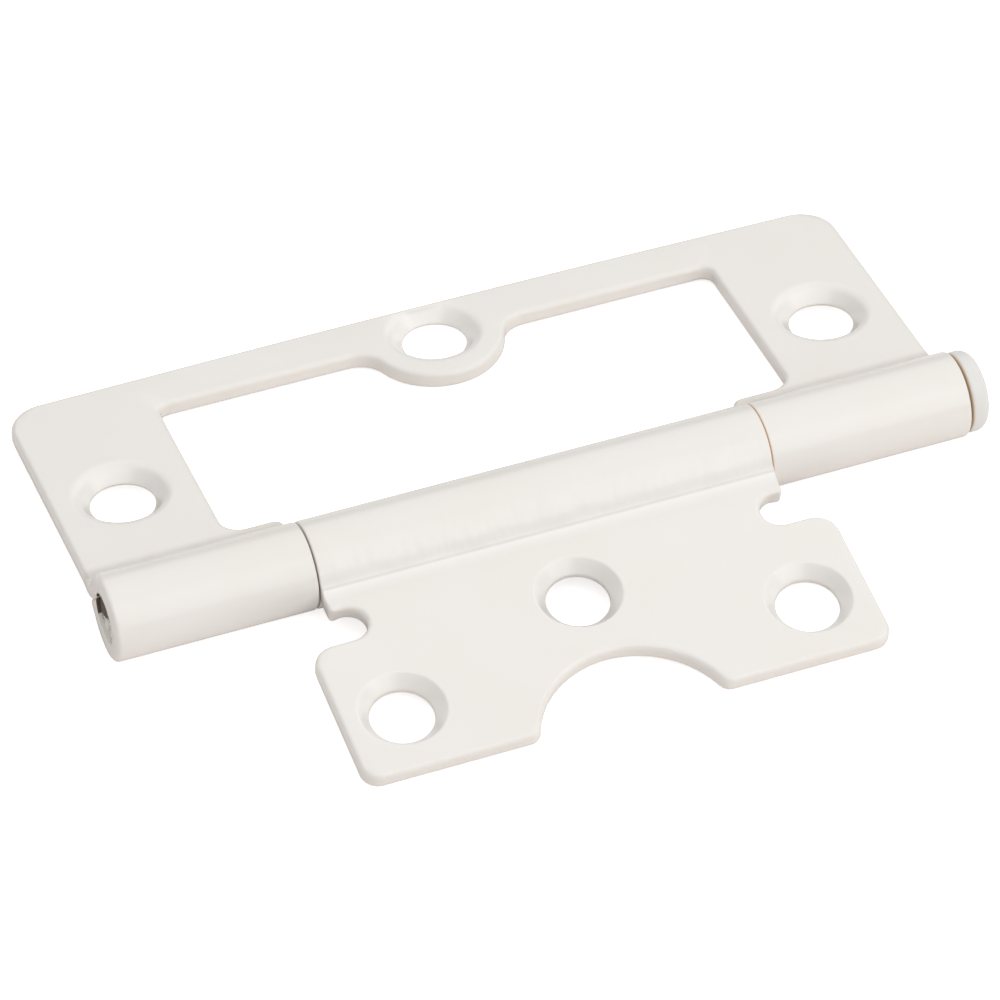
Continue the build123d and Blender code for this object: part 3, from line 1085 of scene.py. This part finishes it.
class HINGE_OT_pin(bpy.types.Operator):
    """Turn the loose pin with its button head and stand it in for the CAD pin"""

    bl_idname = "hinge.pin"
    bl_label = "Pin"

    def execute(self, context):
        sizes = context.scene.hinge.pin
        head_radius = (pin_high.z - pin_low.z) / 2
        head_back = pin_high.x - sizes.head_thickness
        quarter = math.pi / 2
        end, back, front = sizes.end_round, sizes.head_back_round, sizes.head_front_round
        shank_steps = 12
        # From the cropped end, a little dished, along the shank and round the head
        profile = [
            Vector((pin_low.x + 0.08 * mm, 0.0)),
            Vector((pin_low.x + 0.05 * mm, 0.5 * sizes.radius)),
        ]
        profile += arc((pin_low.x + end, sizes.radius - end), end, math.pi, -quarter)
        for step in range(1, shank_steps + 1):
            along = (head_back - pin_low.x) * step / shank_steps
            profile.append(Vector((pin_low.x + along, sizes.radius)))
        profile += arc((head_back + back, head_radius - back), back, math.pi, -quarter)
        profile += arc((pin_high.x - front, head_radius - front), front, quarter, -quarter)
        profile += [Vector((pin_high.x, 0.0))]
        mesh = turned_mesh("pin_turned", profile)
        mesh.transform(Matrix.Translation((0, pin_y, pin_z)))
        mesh.shade_smooth()
        mesh.materials.append(pin_finish())
        pin = bpy.data.objects.new("pin_turned", mesh)
        context.scene.collection.objects.link(pin)
        even = pin.modifiers.new("Even shading", "WEIGHTED_NORMAL")
        even.mode = "FACE_AREA"
        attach(pin, "pin")
        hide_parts("pin")
        return {"FINISHED"}


# The studio's soft boxes: name, place, length and width, and power in watts
soft_boxes = (
    ("front_box", (0.5, -0.55, 0.595), (2.2, 0.4), 3.65),
    ("top_box", (0.45, 0.206, 0.769), (2.3, 1.545), 7.95),
    ("right_box", (0.6, -0.775, 0.247), (1.2, 0.43), 2.1),
)


class HINGE_OT_stage(bpy.types.Operator):
    """Lay the hinge on a white table under soft lights, and set the camera"""

    bl_idname = "hinge.stage"
    bl_label = "Table, lights and camera"

    def execute(self, context):
        look = context.scene.hinge.stage

        # The table touches the knuckles and the frame leaf's back edge, so it leans as the leaf does
        to_edge = math.hypot(frame_reach, pin_z)
        frame_lean = math.asin(knuckle_radius / to_edge) - math.atan2(pin_z, frame_reach)
        level = Matrix.Rotation(frame_lean, 4, "X")
        table_up = level @ Vector((0, 0, 1))
        touch = Vector((0, pin_y, pin_z)) - table_up * (knuckle_radius + 0.01 * mm)
        table_mesh = bpy.data.meshes.new("table")
        reach = 3.0
        corners = [(-reach, -reach, 0), (reach, -reach, 0), (reach, reach, 0), (-reach, reach, 0)]
        table_mesh.from_pydata(corners, [], [(0, 1, 2, 3)])
        table_mesh.transform(Matrix.Translation(touch) @ level)
        table_mesh.materials.append(table_finish())
        table = bpy.data.objects.new("table", table_mesh)
        context.scene.collection.objects.link(table)

        world = bpy.data.worlds.new("white_room")
        world.use_nodes = True
        background = world.node_tree.nodes["Background"]
        background.inputs["Color"].default_value = (1.0, 1.0, 1.0, 1.0)
        background.inputs["Strength"].default_value = look.room_glow
        context.scene.world = world

        for name, place, size, power in soft_boxes:
            self.light(context, name, place, size, power)

        back = Vector(
            (
                math.sin(look.azimuth) * math.cos(look.elevation),
                -math.cos(look.azimuth) * math.cos(look.elevation),
                math.sin(look.elevation),
            )
        )
        camera = bpy.data.cameras.new("photo_camera")
        camera.lens = look.lens
        camera.sensor_width = 36
        camera.clip_start = 0.01
        camera.clip_end = 50
        holder = bpy.data.objects.new("photo_camera", camera)
        context.scene.collection.objects.link(holder)
        holder.rotation_mode = "QUATERNION"
        turned = (-back).to_track_quat("-Z", "Y").to_matrix().to_4x4() @ Matrix.Rotation(look.roll, 4, "Z")
        holder.location = Vector(look.aim) + back * look.distance
        holder.rotation_quaternion = turned.to_quaternion()
        context.scene.camera = holder
        context.scene.view_settings.view_transform = "Standard"
        return {"FINISHED"}

    def light(self, context, name, place, size, power):
        """A long soft box beside the pin's axis, turned to face it."""
        lamp = bpy.data.lights.new(name, "AREA")
        lamp.shape = "RECTANGLE"
        lamp.size, lamp.size_y = size
        lamp.energy = power
        holder = bpy.data.objects.new(name, lamp)
        context.scene.collection.objects.link(holder)
        holder.location = place
        holder.rotation_mode = "QUATERNION"
        towards = Vector((place[0], pin_y, 0)) - Vector(place)
        holder.rotation_quaternion = towards.to_track_quat("-Z", "Y")


class HINGE_PT_panel(bpy.types.Panel):
    """The hinge's sizes and its steps, in the order that they run"""

    bl_label = "Hinge"
    bl_idname = "HINGE_PT_panel"
    bl_space_type = "VIEW_3D"
    bl_region_type = "UI"
    bl_category = "Hinge"

    def draw(self, context):
        hinge = context.scene.hinge
        for operator in operators:
            self.layout.operator(operator.bl_idname)
        for label, group in (
            ("Sheet", hinge.sheet),
            ("Frame leaf", hinge.frame_leaf),
            ("Insert leaf", hinge.insert_leaf),
            ("Pin", hinge.pin),
            ("Paint", hinge.paint),
            ("Stage", hinge.stage),
        ):
            box = self.layout.box()
            box.label(text=label)
            for name in group.__annotations__:
                box.prop(group, name)


operators = (HINGE_OT_frame_leaf, HINGE_OT_insert_leaf, HINGE_OT_pin, HINGE_OT_stage)
groups = (HingeSheet, FrameLeafSizes, InsertLeafSizes, PinSizes, PaintLook, StageLook, HingeSettings)


def register():
    for item in (*groups, *operators, HINGE_PT_panel):
        bpy.utils.register_class(item)
    bpy.types.Scene.hinge = bpy.props.PointerProperty(type=HingeSettings)


def unregister():
    del bpy.types.Scene.hinge
    for item in reversed((*groups, *operators, HINGE_PT_panel)):
        bpy.utils.unregister_class(item)


def main():
    register()
    bpy.ops.hinge.frame_leaf()
    bpy.ops.hinge.insert_leaf()
    bpy.ops.hinge.pin()
    bpy.ops.hinge.stage()


if __name__ == "__main__":
    main()
